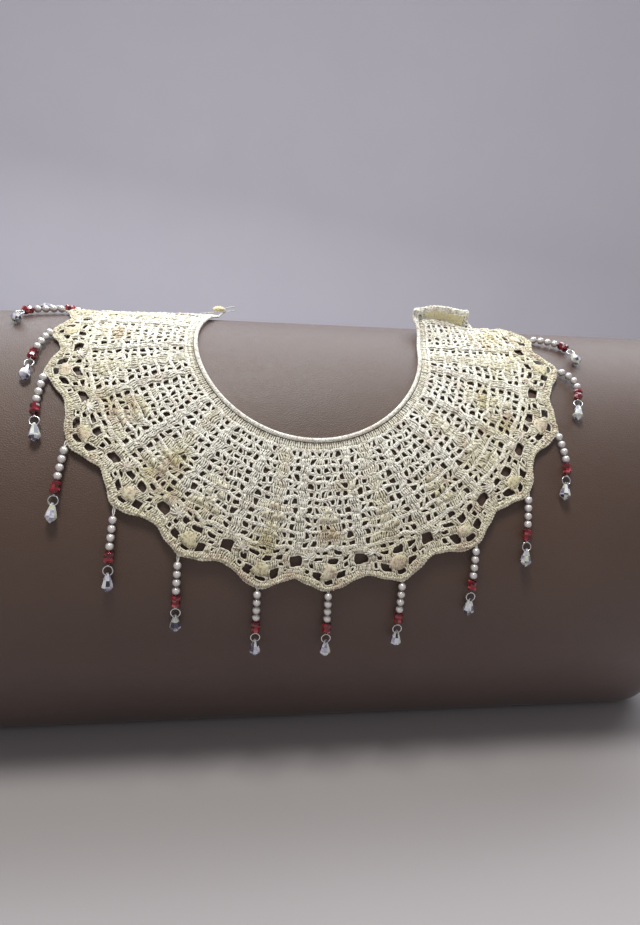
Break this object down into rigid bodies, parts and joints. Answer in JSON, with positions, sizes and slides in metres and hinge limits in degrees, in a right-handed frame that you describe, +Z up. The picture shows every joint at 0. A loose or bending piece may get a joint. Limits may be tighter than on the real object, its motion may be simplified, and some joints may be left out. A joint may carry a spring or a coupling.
{
  "type": "crochet cloud collar on a sofa back cushion",
  "caption": "Scalloped crochet lace collar with pearl, red bead and crystal dangles, draped over the front and rounded top of a plain leather back cushion that stands on its flat underside.",
  "frame": {"origin": "middle of the bounding box, at the height of the cushion's underside", "axes": "+Z up, the collar faces -Y, +X to the right of someone who looks at the collar"},
  "size_m": [0.74, 0.2532, 0.3721],
  "materials": {
    "cushion_leather": "smooth taupe-grey leather with a fine grain, satin",
    "cotton_lace": "cream crochet cotton, matt",
    "cotton_band": "dense cream cotton cord, matt",
    "cotton_edging": "warm cream crochet edging, matt",
    "cotton_button": "crocheted ball, pale yellow cream",
    "thread": "twisted white thread",
    "pearl_bead": "pearl coating, satin gloss",
    "red_bead": "deep red faceted glass",
    "clear_crystal": "clear faceted drop with a faint rainbow coating",
    "silver_wire": "bright silver-plated wire"
  },
  "bodies": {
    "root": {"back_cushion": "cushion_leather", "neckband": "cotton_band", "mesh_yoke": "cotton_lace", "scallop_border": "cotton_edging", "neck_button": "cotton_button", "neck_loop": "thread", "dangle_00": "pearl_bead", "dangle_01": "pearl_bead", "dangle_02": "pearl_bead", "dangle_03": "pearl_bead", "dangle_04": "pearl_bead", "dangle_05": "pearl_bead", "dangle_06": "pearl_bead", "dangle_07": "pearl_bead", "dangle_08": "pearl_bead", "dangle_09": "pearl_bead", "dangle_10": "pearl_bead", "dangle_11": "pearl_bead", "dangle_12": "pearl_bead", "dangle_13": "pearl_bead", "dangle_14": "pearl_bead", "dangle_15": "pearl_bead"}
  },
  "joints": []
}
